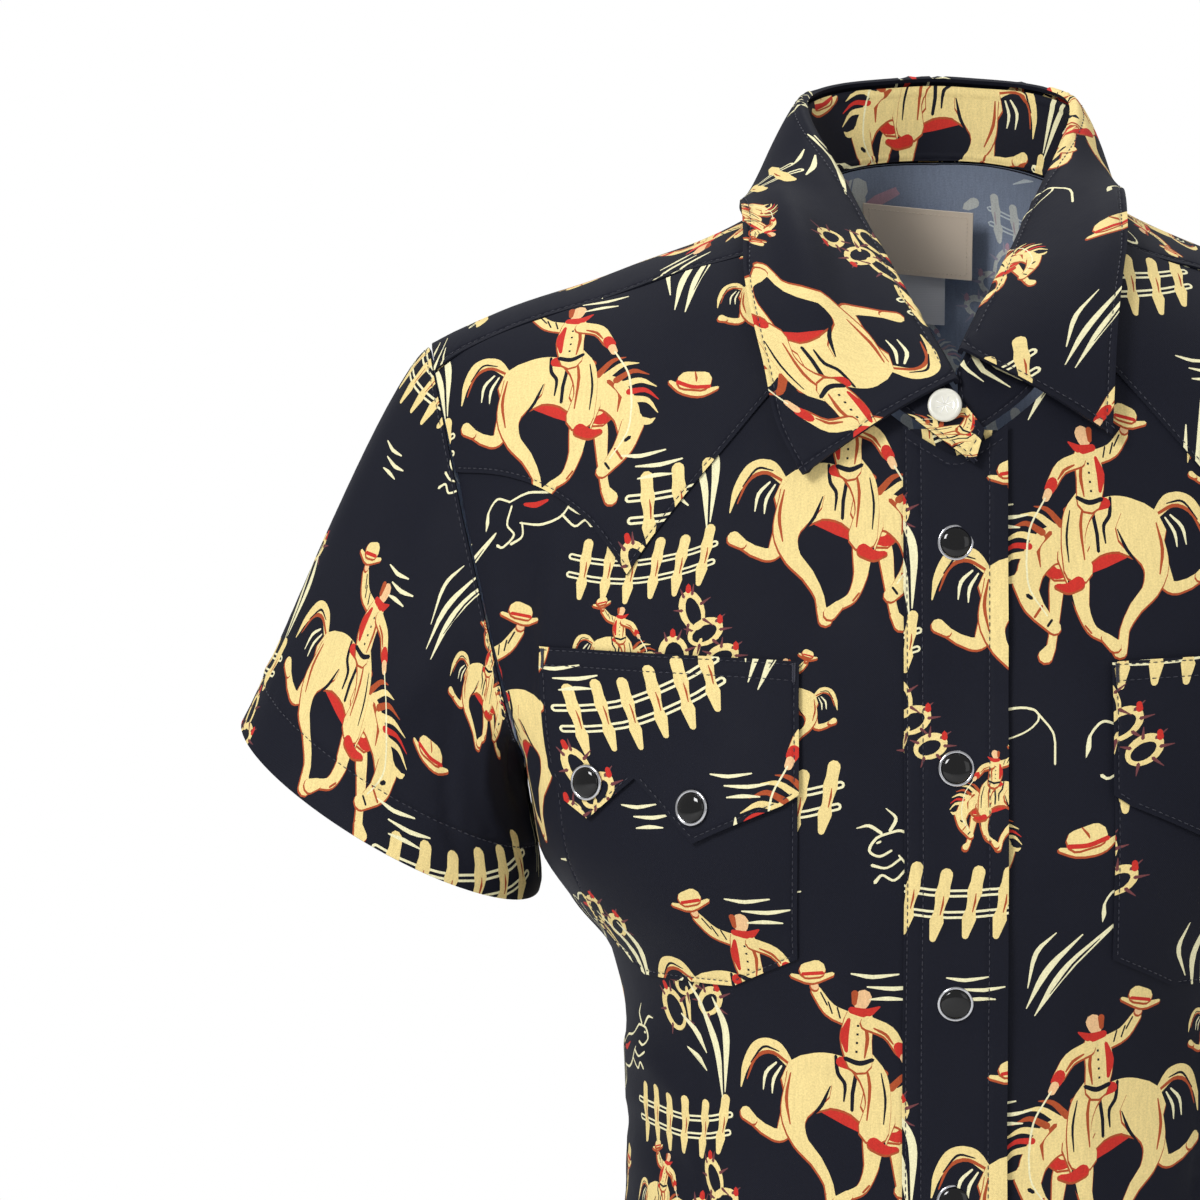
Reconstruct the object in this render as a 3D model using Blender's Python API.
"""Western snap shirt, short sleeved, in the open form that it has when worn.

Units are metres, +Z is up and the front faces -Y. The origin is the middle of the neck, level with
the points where the shoulder ridges reach the neck, which is where a wearer holds the shirt up.
The wearer's right is at -X. The right front laps over the left.

The torso is one surface. Its level sections are superellipses, and it closes over the shoulders on
a sloping ridge. Every panel is a patch of it between seams that are drawn in front view.
"""

import math

import bpy
import numpy as np
from mathutils import Vector

# ---------------------------------------------------------------- driving sizes
CLOTH = 0.0012            # wall of one panel
SEAM_GAP = 0.0005         # between neighbouring pieces
LAYER = 0.0024            # from one cloth layer to the one laid on it

CHEST_HEIGHT = -0.190     # above this level the torso closes towards the shoulders
SHOULDER_RISE = 0.200     # length given to the surface from that level to the ridge
SECTION_POWER = 2.3       # squareness of a level section
SIDE_INSET = 0.0006       # turn left off at a side seam, which leaves 0.3 mm between front and back
CLOSING_POWER = 2.5       # squareness of the shoulders, seen from the side
BODY_SECTIONS = (
    # height, half width, front depth, back depth
    (-0.660, 0.174, 0.118, 0.128),
    (-0.600, 0.170, 0.117, 0.126),
    (-0.530, 0.158, 0.114, 0.119),
    (-0.460, 0.134, 0.107, 0.102),
    (-0.400, 0.1165, 0.100, 0.088),
    (-0.350, 0.1120, 0.098, 0.084),
    (-0.290, 0.1120, 0.103, 0.085),
    (-0.262, 0.1175, 0.109, 0.090),
    (-0.243, 0.1320, 0.112, 0.094),
    (-0.222, 0.1440, 0.114, 0.098),
    (-0.195, 0.1490, 0.113, 0.100),
    (-0.165, 0.1640, 0.111, 0.101),
    (-0.137, 0.1800, 0.110, 0.101),
    (-0.105, 0.1900, 0.110, 0.101),
    (-0.060, 0.1960, 0.110, 0.101),
    (0.060, 0.1960, 0.110, 0.101),
)
BUST_FULLNESS = 0.007     # how far the front stands out over the darts
BUST_PLACE = (0.078, -0.208)
BUST_SPREAD = 0.046
ARM_FOLD = 0.011          # the upright drape fold in front of each armpit
ARM_FOLD_TURN = 1.10
ARM_FOLD_SPREAD = 0.24
ARM_FOLD_HEIGHT = -0.187
ARM_FOLD_REACH = 0.052

RIDGE_AT_NECK = 0.0208    # the shoulder ridge, a line falling outwards
RIDGE_SLOPE = 0.34
RIDGE_ROUNDING = 0.020
NECK_RISE = 0.034         # how far the surface climbs to the neck
NECK_SPREAD = 0.045
SHOULDER_DROOP = 4.0      # how fast the ridge curves down past SHOULDER_TURN
SHOULDER_TURN = 0.150

NECKLINE = (
    # height, distance from the centre line; from the centre front to the ridge
    (-0.0860, 0.0000),
    (-0.0745, 0.0180),
    (-0.0610, 0.0330),
    (-0.0400, 0.0450),
    (-0.0095, 0.0545),
    (0.0065, 0.0570),
)
NECK_BACK = 0.0242        # height of the neckline at the centre back
NECK_SIDE = 0.0570
NECK_SIDE_HEIGHT = 0.0065
ARMHOLE = (
    # height, distance from the centre line
    (-0.1950, 0.1490),
    (-0.1850, 0.1520),
    (-0.1650, 0.1570),
    (-0.1450, 0.1615),
    (-0.1250, 0.1660),
    (-0.1056, 0.1704),
    (-0.0687, 0.1780),
    (-0.0440, 0.1835),
)
UNDERARM = -0.1950
SHOULDER_SEAM = (
    # distance from the centre line, height: the front edge of the back yoke
    (0.0545, -0.0095),
    (0.0744, -0.0165),
    (0.0913, -0.0208),
    (0.1140, -0.0280),
    (0.1320, -0.0335),
    (0.1520, -0.0400),
    (0.1710, -0.0490),
    (0.1810, -0.0560),
)
FRONT_YOKE = (
    # distance from the centre line, height: the lower edge, with one point
    (0.0432, -0.0440),
    (0.0635, -0.0650),
    (0.0817, -0.0863),
    (0.0936, -0.1007),
    (0.1030, -0.1129),
    (0.1129, -0.1275),
    (0.1195, -0.1175),
    (0.1279, -0.1073),
    (0.1423, -0.0972),
    (0.1577, -0.0922),
    (0.1735, -0.0908),
)
YOKE_POINT = 5            # the row of that table where the point is
BACK_YOKE_LIFT = 0.0036
BACK_YOKE = (
    # the same at the back, with one point on the centre line
    (0.0000, -0.1480),
    (0.0200, -0.1330),
    (0.0450, -0.1210),
    (0.0850, -0.1130),
    (0.1250, -0.1110),
    (0.1710, -0.1025),
)
HEM_CENTRE_FRONT = -0.612
HEM_CENTRE_BACK = -0.625
HEM_SIDE = -0.548

LAP = 0.0180              # the front edges pass the centre line by this much
POCKET_INNER = 0.0546
POCKET_OUTER = 0.1400
POCKET_TOP = -0.1520
POCKET_LIFT = 0.0030      # a pocket's bag stands this far off the front
POCKET_INNER_DROP = 0.0055    # the inner end of the pocket's top is this much lower
POCKET_SIDE = 0.1025      # height of its sides, below the flap seam
POCKET_DEPTH = 0.1140     # height to the clipped bottom
FLAP = (
    # share of the pocket's width from its inner edge, height below the flap seam
    (0.000, 0.0460),
    (0.060, 0.0500),
    (0.385, 0.0645),
    (0.630, 0.0440),
    (0.835, 0.0590),
    (0.950, 0.0525),
    (1.000, 0.0420),
)
FLAP_SNAPS = ((0.380, 0.0525), (0.835, 0.0465))

SNAP_RADIUS = 0.0064
SNAP_BASE = 0.0012        # the metal ring's height
SNAP_DOME = 0.0026
SNAP_HEIGHTS = (-0.1163, -0.1943, -0.2752, -0.3450, -0.4190, -0.4930, -0.5670)
BUTTON_RADIUS = 0.0060
BUTTON_THICKNESS = 0.0020

SLEEVE_HEM_CENTRE = (0.1987, 0.0040, -0.2100)
SLEEVE_HEM_LONG = (0.0530, 0.0000, 0.0285)      # from there to the outer, higher end
SLEEVE_HEM_SHORT = (0.0000, -0.0480, -0.0165)   # from there to the front, lower side
SLEEVE_AXIS = (0.4700, -0.1400, -0.8700)        # the way in which the sleeve leaves its hem
SLEEVE_CROWN = 0.052      # how firmly the sleeve head leaves the shoulder
SLEEVE_FALL = 0.060       # how firmly it arrives at the hem
SLEEVE_RAISED = 0.0024    # its head sits level with the yokes
SLEEVE_FOLD = 0.0050      # the long drape fold that the sleeve head makes at the front
SLEEVE_FOLD_TURN = 0.95   # where it runs, 0 at the shoulder and pi at the underarm
SLEEVE_FOLD_SPREAD = 0.30

STAND_THICKNESS = 0.0018
STAND_TOP = (
    # distance from the centre line, depth, height: the collar's fold, from its front end to the back
    (0.0010, -0.1050, -0.0625),
    (0.0075, -0.0940, -0.0500),
    (0.0179, -0.0760, -0.0310),
    (0.0275, -0.0500, -0.0105),
    (0.0385, -0.0240, 0.0135),
    (0.0465, 0.0000, 0.0315),
    (0.0487, 0.0170, 0.0410),
    (0.0440, 0.0350, 0.0468),
    (0.0290, 0.0500, 0.0512),
    (0.0000, 0.0560, 0.0535),
)
STAND_ENDS = (
    # side, top end and bottom end of the band (x, z), how far they stand off the torso
    (-1, (0.0098, -0.0780), (0.0064, -0.0898), 0.0062),
    (1, (-0.0016, -0.0570), (-0.0010, -0.0810), 0.0020),
)
LEFT_FOLD_RAISED = 0.0100     # the underlapping side's fold ends this much higher
LEFT_FOLD_BEHIND = 0.0030     # and this much further back
ROLL_BULGE = 0.0026           # how far the fall bows out between its fold and its edge
RIGHT_LEAF = (
    # depth side, x, height, stand-off of the leaf's outer edge, from its point to the centre back
    (-1, -0.0518, -0.0938, 0.0060),
    (-1, -0.0585, -0.0830, 0.0070),
    (-1, -0.0640, -0.0570, 0.0080),
    (-1, -0.0690, -0.0320, 0.0080),
    (-1, -0.0690, -0.0160, 0.0080),
    (1, -0.0660, -0.0050, 0.0085),
    (1, -0.0570, 0.0015, 0.0090),
    (1, -0.0400, 0.0080, 0.0100),
    (1, -0.0200, 0.0120, 0.0100),
    (1, 0.0000, 0.0130, 0.0100),
)
LEFT_LEAF = (
    (-1, 0.0533, -0.0804, 0.0065),
    (-1, 0.0538, -0.0700, 0.0075),
    (-1, 0.0542, -0.0530, 0.0080),
    (-1, 0.0565, -0.0300, 0.0080),
    (-1, 0.0590, -0.0120, 0.0080),
    (1, 0.0600, -0.0020, 0.0080),
    (1, 0.0540, 0.0030, 0.0090),
    (1, 0.0400, 0.0085, 0.0100),
    (1, 0.0200, 0.0120, 0.0100),
    (1, 0.0000, 0.0130, 0.0100),
)

BRAND_LABEL = (-0.0063, 0.0460, 0.0240)   # x of its middle, width, height
CARE_LABEL = (-0.0048, 0.0205, 0.0410)
LABEL_TILT = -0.08

CLOTH_COLOUR = (0.012, 0.013, 0.022, 1.0)
LABEL_COLOUR = (0.60, 0.49, 0.37, 1.0)
CARE_COLOUR = (0.84, 0.83, 0.83, 1.0)
SNAP_COLOUR = (0.006, 0.006, 0.007, 1.0)
BUTTON_COLOUR = (0.72, 0.70, 0.62, 1.0)


# ---------------------------------------------------------------- curves through tables
def through(table, column, at):
    """A smooth curve with no overshoot through a table whose first column rises."""
    rows = np.array(table, float)
    x, y = rows[:, 0], rows[:, column]
    step, slope = np.diff(x), np.diff(y) / np.diff(x)
    before, after = step[:-1] + 2 * step[1:], 2 * step[:-1] + step[1:]
    turns = slope[:-1] * slope[1:] <= 0
    first, second = np.where(turns, 1.0, slope[:-1]), np.where(turns, 1.0, slope[1:])
    inner = np.where(turns, 0.0, (before + after) / (before / second + after / first))
    tangent = np.concatenate([[slope[0]], inner, [slope[-1]]])
    at = np.clip(np.asarray(at, float), x[0], x[-1])
    k = np.clip(np.searchsorted(x, at) - 1, 0, len(step) - 1)
    t = (at - x[k]) / step[k]
    ends = y[k] * (1 + 2 * t) * (1 - t) ** 2 + y[k + 1] * t**2 * (3 - 2 * t)
    return ends + step[k] * (tangent[k] * t * (1 - t) ** 2 - tangent[k + 1] * t**2 * (1 - t))


def resampled(points, count):
    """The same line with evenly spaced points."""
    points = np.asarray(points, float)
    length = np.concatenate([[0], np.cumsum(np.linalg.norm(np.diff(points, axis=0), axis=1))])
    at = np.linspace(0, length[-1], count)
    return np.stack([np.interp(at, length, points[:, k]) for k in range(points.shape[1])], axis=1)


def smooth_line(points, count):
    """A smooth line through points, evenly spaced."""
    p = np.asarray(points, float)
    p = np.vstack([2 * p[0] - p[1], p, 2 * p[-1] - p[-2]])
    t = np.linspace(0, 1, 24, endpoint=False)[:, None]
    fine = []
    for a, b, c, d in zip(p, p[1:], p[2:], p[3:]):
        curve = 2 * b + (c - a) * t + (2 * a - 5 * b + 4 * c - d) * t**2 + (3 * b - a - 3 * c + d) * t**3
        fine.append(0.5 * curve)
    return resampled(np.vstack(fine + [p[-2:-1]]), count)


# ---------------------------------------------------------------- the torso surface
def ridge(x):
    """Height at which the torso closes, at a distance x from the centre line."""
    line = RIDGE_AT_NECK - RIDGE_SLOPE * np.hypot(x, RIDGE_ROUNDING)
    droop = SHOULDER_DROOP * np.maximum(x - SHOULDER_TURN, 0) ** 2
    return line - droop + NECK_RISE * np.exp(-((x / NECK_SPREAD) ** 2))


def top_of(turn):
    """Height of the ridge on the line that rises at this angle round the body."""
    share = np.sin(turn) ** (2 / SECTION_POWER)
    height = np.full(np.shape(turn), -0.02)
    for _ in range(12):
        height = ridge(through(BODY_SECTIONS, 1, height) * share)
    return height


def torso(angle, rise, side):
    """Points of the torso. angle is 0 at the centre and pi/2 at the side seam, with the sign of x.
    rise is metres above CHEST_HEIGHT, reaching SHOULDER_RISE at the ridge and passing over it."""
    angle, rise = np.asarray(angle, float), np.asarray(rise, float)
    over = rise > SHOULDER_RISE
    side = np.where(over, -side, side)
    rise = np.where(over, 2 * SHOULDER_RISE - rise, rise)
    turn = np.abs(angle)
    share = np.sin(np.clip(rise / SHOULDER_RISE, 0, 1) * math.pi / 2)
    height = CHEST_HEIGHT + np.where(rise <= 0, rise, (top_of(turn) - CHEST_HEIGHT) * share)
    closing = np.clip(1 - share**CLOSING_POWER, 0, 1) ** (1 / CLOSING_POWER)
    depth = through(BODY_SECTIONS, 2, height) * (side < 0) + through(BODY_SECTIONS, 3, height) * (side > 0)
    x = through(BODY_SECTIONS, 1, height) * np.sin(turn) ** (2 / SECTION_POWER)
    y = side * depth * np.cos(turn) ** (2 / SECTION_POWER) * closing
    front = np.where(side < 0, closing, 0)
    away = ((x - BUST_PLACE[0]) ** 2 + (height - BUST_PLACE[1]) ** 2) / BUST_SPREAD**2
    reach = ((height - ARM_FOLD_HEIGHT) / ARM_FOLD_REACH) ** 2
    fold = front * ARM_FOLD * np.exp(-reach - ((turn - ARM_FOLD_TURN) / ARM_FOLD_SPREAD) ** 2)
    bust = front * BUST_FULLNESS * (1 - np.clip(turn / (math.pi / 2), 0, 1) ** 10)
    y = y - bust * np.exp(-away) - 0.6 * fold
    return np.stack([np.where(angle < 0, -1, 1) * (x + 0.8 * fold), y, height], axis=-1)


def place(x, z, side):
    """(angle, rise) of the point of the torso seen at (x, z) from the front or back."""
    x, z = np.broadcast_arrays(np.asarray(x, float), np.asarray(z, float))
    target = np.abs(x).copy()
    for _ in range(8):
        width = through(BODY_SECTIONS, 1, z)
        turn = np.arcsin(np.clip(target / width, 0, 1) ** (SECTION_POWER / 2))
        share = np.clip((z - CHEST_HEIGHT) / (top_of(turn) - CHEST_HEIGHT), 0, 1)
        rise = np.where(z <= CHEST_HEIGHT, z - CHEST_HEIGHT, np.arcsin(share) * 2 / math.pi * SHOULDER_RISE)
        target = np.maximum(target + np.abs(x) - np.abs(torso(turn, rise, side)[..., 0]), 0)
    return np.stack([np.where(x < 0, -turn, turn), rise], axis=-1)


def lifted(places, side, lift):
    """Points that stand off the torso by lift."""
    angle, rise = places[..., 0], places[..., 1]
    limit = math.pi / 2 - 0.002
    low, high = np.clip(angle - 0.01, -limit - 0.01, limit - 0.01), np.clip(angle + 0.01, 0.01 - limit, limit + 0.002)
    across = torso(high, rise, side) - torso(np.maximum(low, -limit - 0.002), rise, side)
    up = torso(angle, rise + 0.002, side) - torso(angle, rise - 0.002, side)
    normal = -side * np.cross(across, up)
    normal /= np.linalg.norm(normal, axis=-1, keepdims=True)
    return torso(angle, rise, side) + normal * np.asarray(lift, float)[..., None]


def relaxed(grid, steps):
    """The same grid with its inner points spread more evenly."""
    grid = grid.copy()
    for _ in range(steps):
        around = grid[:-2, 1:-1] + grid[2:, 1:-1] + grid[1:-1, :-2] + grid[1:-1, 2:]
        grid[1:-1, 1:-1] = 0.5 * grid[1:-1, 1:-1] + 0.125 * around
    return grid


def filled(bottom, top, inner, outer):
    """A grid between four boundary lines of matching counts: bottom and top from the inner edge to
    the outer one, inner and outer from the bottom to the top."""
    u = np.linspace(0, 1, len(bottom))[None, :, None]
    v = np.linspace(0, 1, len(inner))[:, None, None]
    low = (1 - u) * bottom[0] + u * bottom[-1]
    high = (1 - u) * top[0] + u * top[-1]
    sides = (1 - u) * inner[:, None] + u * outer[:, None]
    return (1 - v) * (bottom[None] - low) + v * (top[None] - high) + sides


# ---------------------------------------------------------------- seams, as places on the torso
def hem(turns, side):
    centre = HEM_CENTRE_FRONT if side < 0 else HEM_CENTRE_BACK
    height = HEM_SIDE + (centre - HEM_SIDE) * np.cos(turns) ** 1.5
    return np.stack([turns, height - CHEST_HEIGHT], axis=-1)


def neckline(low, high, count, inset):
    """The front neckline between two heights, inset away from the neck."""
    height = np.linspace(low, high, 40)
    x = through(NECKLINE, 1, height)
    away = np.array([0.6, -0.8]) * inset
    line = np.stack([x + away[0], height + away[1]], axis=-1)
    line = resampled(line, count)
    return place(line[:, 0], line[:, 1], -1)


def armhole(low, high, side, count, inset):
    height = np.linspace(low, high, 60)
    x = through(ARMHOLE, 1, height) - inset
    return resampled(place(x, height, side), count)


def side_seam(count):
    height = np.interp(np.linspace(0, 1, count), [0, 0.45, 1], [HEM_SIDE, -0.310, UNDERARM])
    return np.stack([np.full(count, math.pi / 2 - SIDE_INSET), height - CHEST_HEIGHT], axis=-1)


def shoulder_seam(count, drop):
    x = np.linspace(SHOULDER_SEAM[0][0], SHOULDER_SEAM[-1][0], 40)
    x = x + 0.0006 * np.linspace(1, -1, 40)
    return resampled(place(x, through(SHOULDER_SEAM, 1, x) - drop, -1), count)


# ---------------------------------------------------------------- solids
def material(name, colour, roughness, metallic):
    made = bpy.data.materials.new(name)
    made.use_nodes = True
    shader = made.node_tree.nodes["Principled BSDF"]
    shader.inputs["Base Color"].default_value = colour
    shader.inputs["Roughness"].default_value = roughness
    shader.inputs["Metallic"].default_value = metallic
    return made


def add_solid(name, points, faces, colour, roughness=0.8, metallic=0.0):
    mesh = bpy.data.meshes.new(name)
    mesh.from_pydata([tuple(p) for p in points], [], faces)
    mesh.validate()
    made = bpy.data.objects.new(name, mesh)
    bpy.context.collection.objects.link(made)
    mesh.materials.append(material(name, colour, roughness, metallic))
    mesh.shade_smooth()
    mesh.set_sharp_from_angle(angle=math.radians(50))
    return made


def wall(name, outer, inner, colour=CLOTH_COLOUR, ring=False, roughness=0.8):
    """A closed wall between two grids of points. A ring's last column joins its first."""
    rows, columns = outer.shape[:2]
    count = rows * columns
    number = np.arange(count).reshape(rows, columns)
    if ring:
        number = np.hstack([number, number[:, :1]])
    a, b = number[:-1, :-1].ravel(), number[:-1, 1:].ravel()
    c, d = number[1:, 1:].ravel(), number[1:, :-1].ravel()
    faces = np.concatenate([np.stack([a, b, c, d], 1), np.stack([d, c, b, a], 1) + count])
    lines = [number[0], number[-1][::-1]]
    if not ring:
        lines += [number[:, -1], number[::-1, 0]]
    for line in lines:
        rim = np.stack([line[1:], line[:-1], line[:-1] + count, line[1:] + count], 1)
        faces = np.concatenate([faces, rim])
    points = np.concatenate([outer.reshape(-1, 3), inner.reshape(-1, 3)])
    made = add_solid(name, points, faces.tolist(), colour, roughness)
    if volume(points, faces) < 0:
        made.data.flip_normals()
    return made


def volume(points, faces):
    a, b, c, d = (points[faces[:, k]] for k in range(4))
    return np.sum(a * np.cross(b, c)) + np.sum(a * np.cross(c, d))


def panel(name, places, side, lift=0.0, thickness=CLOTH, colour=CLOTH_COLOUR):
    """A wall that lies on the torso, or at a lift over it."""
    low = np.broadcast_to(np.asarray(lift, float), places.shape[:2])
    return wall(name, lifted(places, side, low + thickness), lifted(places, side, low), colour)


def mirrored(places):
    return places * np.array([-1.0, 1.0])


# ---------------------------------------------------------------- fronts, back and yokes
def front_places(inner_x):
    """The left front. inner_x is its centre edge, and a negative one passes the centre line."""
    body_rows, neck_rows, columns = 16, 6, 15
    turns = np.linspace(place(inner_x, HEM_CENTRE_FRONT, -1)[0], math.pi / 2 - SIDE_INSET, columns)
    bottom = hem(turns, -1)
    start = through([(row[1], row[0]) for row in NECKLINE], 1, abs(inner_x)) - 0.0006
    low = bottom[0, 1] + CHEST_HEIGHT
    heights = np.interp(np.linspace(0, 1, body_rows), [0, 0.40, 1], [low, -0.330, start])
    edge = place(np.full(body_rows, inner_x), heights, -1)
    neck = neckline(start, SHOULDER_SEAM[0][1], neck_rows, SEAM_GAP)
    inner = np.vstack([edge, neck[1:]])
    hole = armhole(UNDERARM, SHOULDER_SEAM[-1][1], -1, 10, SEAM_GAP)
    outer = np.vstack([side_seam(body_rows + neck_rows - 10), hole[1:]])
    top = shoulder_seam(columns, 2 * SEAM_GAP)
    inner[-1], outer[-1] = top[0], top[-1]
    return relaxed(filled(bottom, top, inner, outer), 12)


def make_fronts():
    left = front_places(-LAP + 0.0026)
    right = front_places(LAP - 0.0020)
    panel("front_left", left, -1)
    panel("front_right", mirrored(right), -1)


def back_edges(low_rows, high_rows, over_rows, inset):
    """The outer edge of the back, from the hem over the ridge to the shoulder seam's end."""
    hole = armhole(UNDERARM, ARMHOLE[-1][0] - 0.003, 1, high_rows, inset)
    over = place(SHOULDER_SEAM[-1][0], SHOULDER_SEAM[-1][1], -1)
    ends = np.array([hole[-1], [over[0], 2 * SHOULDER_RISE - over[1]]])
    return np.vstack([side_seam(low_rows), hole[1:], resampled(ends, over_rows + 1)[1:]])


def back_neckline(count):
    x = np.linspace(0, NECK_SIDE, count)
    height = NECK_BACK - (NECK_BACK - NECK_SIDE_HEIGHT) * (x / NECK_SIDE) ** 2.4
    return place(x, height, 1)


def back_top(seam_columns, neck_columns):
    """The top of the right half of the back, from the neck's middle to the shoulder's end."""
    neck = back_neckline(neck_columns)
    seam = shoulder_seam(seam_columns, 0.0)
    seam[:, 1] = 2 * SHOULDER_RISE - seam[:, 1]
    wrap = np.array([neck[-1], seam[0]])
    return np.vstack([neck, resampled(wrap, 4)[1:], seam[1:]])


def make_back():
    top = back_top(7, 5)
    turns = np.linspace(0, math.pi / 2 - SIDE_INSET, len(top))
    outer = back_edges(9, 9, 2, SEAM_GAP)
    middle = np.stack([np.zeros(len(outer)), np.linspace(HEM_CENTRE_BACK - CHEST_HEIGHT, top[0, 1], len(outer))], -1)
    half = filled(hem(turns, 1), top, middle, outer)
    whole = np.hstack([mirrored(half[:, :0:-1]), half])
    panel("back", relaxed(whole, 12), 1)


def make_yokes():
    bottom_line = np.array(FRONT_YOKE)
    line = place(bottom_line[:, 0], bottom_line[:, 1], -1)
    bottom = np.vstack([resampled(line[: YOKE_POINT + 1], 8), resampled(line[YOKE_POINT:], 7)[1:]])
    top = shoulder_seam(len(bottom), SEAM_GAP)
    inner = neckline(FRONT_YOKE[0][1], SHOULDER_SEAM[0][1], 6, SEAM_GAP + 0.0008)
    outer = armhole(FRONT_YOKE[-1][1], SHOULDER_SEAM[-1][1], -1, 6, SEAM_GAP + 0.0008)
    inner[0], outer[0], inner[-1], outer[-1] = bottom[0], bottom[-1], top[0], top[-1]
    places = filled(bottom, top, inner, outer)
    panel("yoke_front_left", places, -1, LAYER)
    panel("yoke_front_right", mirrored(places), -1, LAYER)
    top = back_top(7, 5)
    line = np.array(BACK_YOKE)
    bottom = resampled(place(line[:, 0], line[:, 1], 1), len(top))
    outer = back_edges(2, 13, 3, SEAM_GAP + 0.0008)[2:]
    outer = np.vstack([bottom[-1:], outer[outer[:, 1] > bottom[-1, 1] + 0.004]])
    middle = np.stack([np.zeros(len(outer)), np.linspace(bottom[0, 1], top[0, 1], len(outer))], -1)
    half = filled(bottom, top, middle, outer)
    whole = np.hstack([mirrored(half[:, :0:-1]), half])
    panel("yoke_back", relaxed(whole, 12), 1, BACK_YOKE_LIFT)


def make_placket():
    across = np.linspace(-LAP, LAP, 5)
    top = through([(row[1], row[0]) for row in NECKLINE], 1, np.abs(across)) - 0.0012
    share = np.linspace(0, 1, 17)[:, None]
    heights = HEM_CENTRE_FRONT + (top[None] - HEM_CENTRE_FRONT) * share
    places = place(np.broadcast_to(across, heights.shape), heights, -1)
    panel("placket", places, -1, LAYER)


# ---------------------------------------------------------------- sleeves
def loop_of_armhole(count):
    """Points of the armhole from the shoulder, down the front, and up the back, with normals."""
    front = armhole(UNDERARM, ARMHOLE[-1][0], -1, count // 2, 0.0)[::-1]
    back = armhole(UNDERARM, ARMHOLE[-1][0], 1, count // 2, 0.0)
    parts = [(front, -1), (back[1:-1], 1)]
    ring = np.vstack([lifted(p, s, np.zeros(len(p))) for p, s in parts])
    above = np.vstack([lifted(p, s, np.full(len(p), 0.001)) for p, s in parts])
    return ring, (above - ring) / 0.001


def sleeve_rings(rows, count):
    """The sleeve's form as rings, with its outward directions."""
    ring, normal = loop_of_armhole(count)
    columns = len(ring)
    low = np.argmin(ring[:, 2])
    phase = np.concatenate([np.linspace(0, math.pi, low + 1), np.linspace(math.pi, 2 * math.pi, columns - low + 1)[1:-1]])
    centre, long, short = (np.array(v) for v in (SLEEVE_HEM_CENTRE, SLEEVE_HEM_LONG, SLEEVE_HEM_SHORT))
    end = centre + np.cos(phase)[:, None] * long + np.sin(phase)[:, None] * short
    along = np.roll(ring, -1, axis=0) - np.roll(ring, 1, axis=0)
    leave = np.cross(normal, along)
    leave /= np.linalg.norm(leave, axis=1, keepdims=True)
    high = (0.5 + 0.5 * np.cos(phase))[:, None] ** 0.7
    leave = high * leave + (1 - high) * np.array([0.85, 0.0, -0.35])
    axis = np.array(SLEEVE_AXIS)
    t = np.linspace(0, 1, rows)[:, None, None]
    gap = ring + leave * (0.0012 + 0.0030 * (1 - high)) + normal * SLEEVE_RAISED * high
    points = gap * (1 + 2 * t) * (1 - t) ** 2 + end * t**2 * (3 - 2 * t)
    crown = SLEEVE_CROWN * (0.25 + 0.75 * high)
    points = points + leave * crown * t * (1 - t) ** 2 - axis * SLEEVE_FALL * (0.3 + high) * t**2 * (1 - t)
    return points


def ring_normals(points):
    around = np.roll(points, -1, axis=1) - np.roll(points, 1, axis=1)
    down = np.gradient(points, axis=0)
    normal = np.cross(around, down)
    normal /= np.linalg.norm(normal, axis=2, keepdims=True)
    outward = points - points.mean(axis=1, keepdims=True)
    return normal * np.sign(np.sum(normal * outward, axis=2).mean())


def make_sleeves():
    rings = sleeve_rings(8, 28)
    normal = ring_normals(rings)
    phase = np.linspace(0, 2 * math.pi, rings.shape[1], endpoint=False)[None, :, None]
    t = np.linspace(0, 1, len(rings))[:, None, None]
    reach = np.sin(math.pi * t**0.8) ** 2
    for turn in (SLEEVE_FOLD_TURN, 2 * math.pi - SLEEVE_FOLD_TURN):
        rings = rings + normal * SLEEVE_FOLD * reach * np.exp(-(((phase - turn) / SLEEVE_FOLD_SPREAD) ** 2))
    normal = ring_normals(rings)
    for name, side in (("sleeve_right", -1), ("sleeve_left", 1)):
        turn = np.array([side, 1.0, 1.0])
        wall(name, (rings + normal * CLOTH) * turn, rings * turn, ring=True)


# ---------------------------------------------------------------- collar
def fold_line(side, count):
    """The collar's fold on one side, from its front end to the centre back."""
    rows = np.array(STAND_TOP)
    if side > 0:
        share = np.clip((rows[:, 1] + 0.02) / -0.08, 0, 1)
        rows[:, 2] += LEFT_FOLD_RAISED * share
        rows[:, 1] += LEFT_FOLD_BEHIND * share
        rows[:, 0] += 0.0020 * share
    rows[:, 0] *= side
    return smooth_line(rows, count)


def seam_line(side, count):
    """The line on the neckline on which one side of the stand is set."""
    front = neckline(-0.0770, 0.0000, 30, -0.0030)
    front = lifted(front, -1, np.full(len(front), 0.0006))
    back = back_neckline(20)[:-1][::-1]
    back = lifted(back, 1, np.full(19, 0.0006)) + np.array([0.0, -0.0004, 0.0014])
    line = np.vstack([front, back]) * np.array([side, 1.0, 1.0])
    return resampled(line, count)


def stand_grid():
    sides = []
    for side, top_end, bottom_end, lift in STAND_ENDS:
        ends = place([-side * top_end[0], -side * bottom_end[0]], [top_end[1], bottom_end[1]], -1)
        ends = lifted(ends, -1, np.full(2, lift))
        top = np.vstack([ends[:1], fold_line(side, 15)])
        seam = seam_line(side, 15)
        seam[:2] += np.array([[0.0, -0.7 * lift, 0.0], [0.0, -0.3 * lift - 0.0004, 0.0]])
        bottom = np.vstack([ends[1:], seam])
        v = np.linspace(0, 1, 4)[:, None, None]
        sides.append(bottom * (1 - v) + top * v)
    right, left = sides
    return np.concatenate([right, left[:, ::-1][:, 1:]], axis=1)


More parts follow.
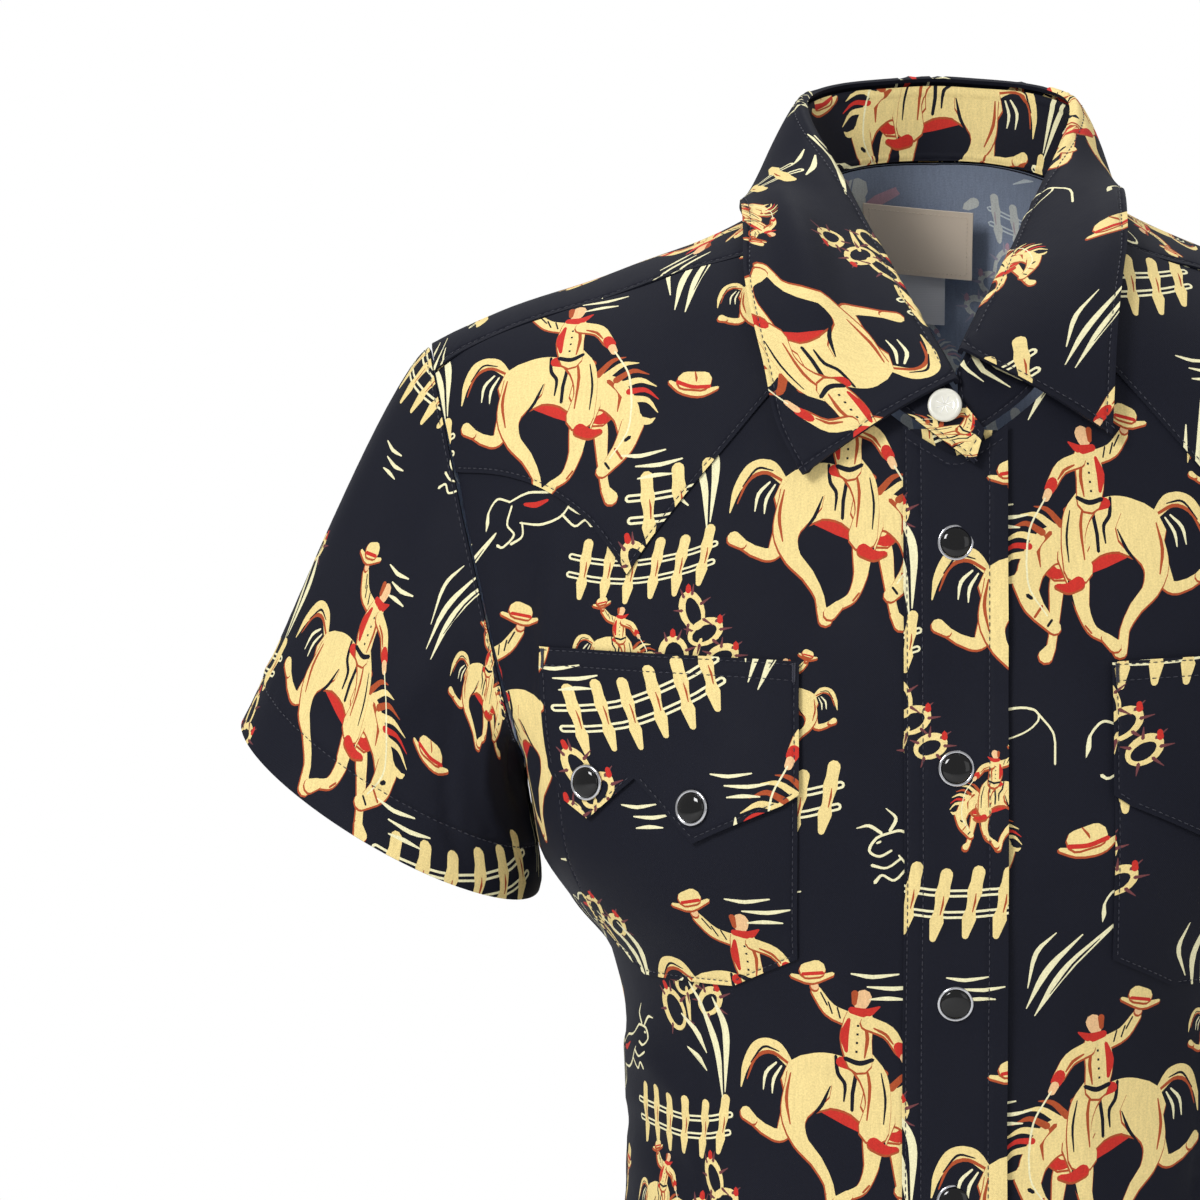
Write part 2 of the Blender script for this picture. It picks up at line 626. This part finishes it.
def sheet_normals(points):
    normal = np.cross(np.gradient(points, axis=1), np.gradient(points, axis=0))
    return normal / np.linalg.norm(normal, axis=2, keepdims=True)


def finer(grid, times):
    """A grid with more points between its own."""
    rows = [grid[:-1] + (grid[1:] - grid[:-1]) * k / times for k in range(times)]
    grid = np.stack(rows, 1).reshape(-1, *grid.shape[1:])
    columns = [grid[:, :-1] + (grid[:, 1:] - grid[:, :-1]) * k / times for k in range(times)]
    return np.stack(columns, 2).reshape(len(grid), -1, 3)


def pushed_clear(points, surface, normals, clearance):
    """Points moved off a surface, wherever they lie over it with less than the clearance."""
    flat, surface, normals = points.reshape(-1, 3).copy(), surface.reshape(-1, 3), normals.reshape(-1, 3)
    for _ in range(3):
        near = np.argmin(((flat[:, None] - surface[None]) ** 2).sum(axis=2), axis=1)
        offset = flat - surface[near]
        height = np.sum(offset * normals[near], axis=1, keepdims=True)
        beside = np.linalg.norm(offset - normals[near] * height, axis=1, keepdims=True)
        flat += np.where(beside < 0.007, np.maximum(clearance - height, 0), 0) * normals[near]
    return flat.reshape(points.shape)


def cloth_under_collar(side):
    """Points of the upper torso outside the neckline, with their normals."""
    x = np.linspace(-0.08, 0.08, 81)
    low = NECKLINE[0][0] - 0.06
    edge = through([(row[1], row[0]) for row in NECKLINE], 1, np.abs(x))
    if side > 0:
        edge = NECK_BACK - (NECK_BACK - NECK_SIDE_HEIGHT) * np.minimum(np.abs(x) / NECK_SIDE, 1) ** 2.4
    top = np.where(np.abs(x) < NECK_SIDE, edge, ridge(np.abs(x)) - 0.0002)
    heights = low + (top - low) * (1 - np.linspace(1, 0, 60)[:, None] ** 2)
    places = place(np.broadcast_to(x, heights.shape), heights, side)
    base = lifted(places, side, np.zeros(heights.shape))
    return base, (lifted(places, side, np.full(heights.shape, 0.001)) - base) / 0.001


def leaf_edge(table, count):
    """The outer edge of one leaf, which stands a little off the torso and crosses the ridge."""
    rows = []
    for side, x, height, lift in table:
        angle, rise = place(x, height, side)
        rows.append((angle, 2 * SHOULDER_RISE - rise if side < 0 else rise, lift))
    line = smooth_line(rows, count)
    return lifted(line[:, :2], 1, line[:, 2])


def fall_grid():
    """The fall, from its seam at the fold, over the roll and out to its edge."""
    sides = []
    for side, table in ((-1, RIGHT_LEAF), (1, LEFT_LEAF)):
        edge, fold = leaf_edge(table, 60), fold_line(side, 15)
        edge = resampled(edge, 15)
        up = fold - seam_line(side, 15)
        out = edge - fold
        length = np.linalg.norm(out, axis=1, keepdims=True)
        up, out = up / np.linalg.norm(up, axis=1, keepdims=True), out / length
        away = -side * np.cross(np.gradient(fold, axis=0), out)
        away /= np.linalg.norm(away, axis=1, keepdims=True)
        grid = [fold + up * 0.0022 - away * 0.0004, fold + up * 0.0022 + away * 0.0022]
        for share in (0.12, 0.34, 0.56, 0.78, 1.0):
            stand_off = 0.0034 * (1 - share) + ROLL_BULGE * math.sin(math.pi * share**0.8)
            grid.append(fold + out * length * share + away * stand_off)
        sides.append(np.stack(grid))
    right, left = sides
    whole = np.concatenate([right, left[:, ::-1][:, 1:]], axis=1)
    stand = finer(stand_grid(), 4)
    outside = -sheet_normals(stand)
    for _ in range(2):
        whole[2:] = pushed_clear(whole[2:], stand, outside, STAND_THICKNESS + 0.0010)
        for side, clearance in ((-1, LAYER + CLOTH + 0.0032), (1, BACK_YOKE_LIFT + CLOTH + 0.0032)):
            whole[2:] = pushed_clear(whole[2:], *cloth_under_collar(side), clearance)
    return whole


def make_collar():
    for name, grid in (("collar_stand", stand_grid()), ("collar_fall", fall_grid())):
        normal = sheet_normals(grid)
        wall(name, grid + normal * STAND_THICKNESS / 2, grid - normal * STAND_THICKNESS / 2)


# ---------------------------------------------------------------- pockets and flaps
def girth(height):
    """Angles, and distances round the front from the centre line to them, at one height."""
    x = np.linspace(0, 0.999, 80) * through(BODY_SECTIONS, 1, height)
    places = place(x, np.full(80, height), -1)
    points = torso(places[:, 0], places[:, 1], -1)
    length = np.concatenate([[0], np.cumsum(np.linalg.norm(np.diff(points, axis=0), axis=1))])
    return places, length, points[:, 0]


def round_body(distance, heights):
    """Places at distances from the centre line, measured round the body at their own heights."""
    distance, heights = np.broadcast_arrays(distance, heights)
    made = np.zeros(distance.shape + (2,))
    for spot in np.ndindex(distance.shape):
        places, length, _ = girth(heights[spot])
        made[spot] = [np.interp(distance[spot], length, places[:, k]) for k in range(2)]
    return made


def pocket_round(share):
    """Distance round the body at a share of the pocket's width from its inner edge."""
    _, length, x = girth(POCKET_TOP - 0.030)
    ends = np.interp([POCKET_INNER, POCKET_OUTER], x, length)
    return ends[0] + (ends[1] - ends[0]) * np.asarray(share)


def pocket_top(share):
    return POCKET_TOP - POCKET_INNER_DROP * (1 - np.asarray(share))


def make_pockets():
    share = np.concatenate([[0, 0.13, 0.26], np.linspace(0.26, 0.74, 6)[1:], [0.82, 0.91, 1]])
    clip = np.clip(np.minimum(share, 1 - share) / 0.26, 0, 1)
    bottom = pocket_top(share) - POCKET_SIDE - (POCKET_DEPTH - POCKET_SIDE) * clip
    top = pocket_top(share) - 0.0120
    v = np.linspace(0, 1, 8)[:, None]
    places = round_body(pocket_round(share), bottom + (top - bottom) * v)
    panel("pocket_left", places, -1, POCKET_LIFT)
    panel("pocket_right", mirrored(places), -1, POCKET_LIFT)


def make_flaps():
    rows = np.array(FLAP)
    share = np.concatenate([np.linspace(a, b, 3)[:-1] for a, b in zip(rows[:, 0], rows[1:, 0])] + [[1.0]])
    depth = np.interp(share, rows[:, 0], rows[:, 1])
    levels = np.array([0.0, 0.0090, 0.0150])[:, None]
    below = 0.0150 + (depth - 0.0150) * np.array([0.34, 0.67, 1.0])[:, None]
    heights = pocket_top(share) - np.vstack([np.broadcast_to(levels, (3, len(share))), below])
    spread = 0.5 + (share - 0.5) * 1.012
    places = round_body(pocket_round(spread), heights)
    lift = POCKET_LIFT + LAYER * np.array([0, 0.25, 1, 1, 1, 1])[:, None] + 0 * heights
    panel("flap_left", places, -1, lift)
    panel("flap_right", mirrored(places), -1, lift)


# ---------------------------------------------------------------- labels, snaps and button
def make_labels():
    """Two labels on the inner face of the back, below the stand; they hang just clear of it."""
    x, width, height = BRAND_LABEL
    for name, middle, wide, tall, top, lift, colour in (
        ("brand_label", x, width, height, NECK_BACK - 0.0126, -0.0054, LABEL_COLOUR),
        ("care_label", CARE_LABEL[0], CARE_LABEL[1], CARE_LABEL[2], NECK_BACK - 0.0146, -0.0034, CARE_COLOUR),
    ):
        across = np.linspace(middle - wide / 2, middle + wide / 2, 7)
        heights = np.linspace(top, top - tall, 6)[:, None]
        heights = heights + LABEL_TILT * (across - middle)
        places = place(np.broadcast_to(across, (6, 7)), heights, 1)
        hang = lift * np.linspace(1.0, 1.6, 6)[:, None] + 0 * heights
        panel(name, places, 1, hang, 0.0008, colour)


def lathe(name, centre, normal, profile, colour, roughness, metallic):
    """A closed round solid on an axis; profile rows are radius, height."""
    normal = Vector(normal).normalized()
    across = normal.cross(Vector((0, 0, 1))).normalized()
    up = normal.cross(across)
    count = 16
    points, faces = [], []
    for radius, height in profile:
        for k in range(count):
            a = 2 * math.pi * k / count
            points.append(Vector(centre) + normal * height + (across * math.cos(a) + up * math.sin(a)) * radius)
    for r in range(len(profile) - 1):
        for k in range(count):
            j = (k + 1) % count
            faces.append((r * count + k, r * count + j, (r + 1) * count + j, (r + 1) * count + k))
    last = (len(profile) - 1) * count
    faces.append(tuple(range(count - 1, -1, -1)))
    faces.append(tuple(range(last, last + count)))
    return add_solid(name, points, faces, colour, roughness, metallic)


def snap(name, spot, lift):
    base, above = lifted(spot, -1, lift), lifted(spot, -1, lift + 0.001)
    r = SNAP_RADIUS
    profile = (
        (r * 0.96, 0.0), (r, SNAP_BASE * 0.5), (r * 0.90, SNAP_BASE),
        (r * 0.70, SNAP_DOME * 0.75), (r * 0.40, SNAP_DOME * 0.94), (r * 0.14, SNAP_DOME),
    )
    lathe(name, base, above - base, profile, SNAP_COLOUR, 0.12, 0.0)


def make_fasteners():
    on_placket = LAYER + CLOTH + 0.0005
    for number, height in enumerate(SNAP_HEIGHTS, 1):
        snap(f"front_snap_{number}", place(0.0, height, -1), on_placket)
    for side, word in ((-1, "right"), (1, "left")):
        for number, (share, drop) in enumerate(FLAP_SNAPS, 1):
            z = float(pocket_top(share) - drop)
            spot = round_body(pocket_round(share), z) * np.array([side, 1.0])
            snap(f"flap_snap_{word}_{number}", spot, POCKET_LIFT + LAYER + CLOTH + 0.0008)
    grid = stand_grid()
    normal = sheet_normals(grid)
    along = grid[:, 0] * 0.15 + grid[:, 1] * 0.85
    centre, out = along[1] * 0.15 + along[2] * 0.85, normal[1:3, 0:2].mean(axis=(0, 1))
    out = out / np.linalg.norm(out) * (-1 if out[1] > 0 else 1)
    r = BUTTON_RADIUS
    profile = ((r * 0.9, 0.0), (r, 0.0006), (r * 0.95, BUTTON_THICKNESS), (r * 0.7, BUTTON_THICKNESS * 0.8))
    lathe("neck_button", centre + out * (STAND_THICKNESS / 2 + 0.0012), out, profile, BUTTON_COLOUR, 0.25, 0.0)


for old in list(bpy.data.objects):
    bpy.data.objects.remove(old)
make_fronts()
make_back()
make_yokes()
make_placket()
make_sleeves()
make_collar()
make_pockets()
make_flaps()
make_labels()
make_fasteners()
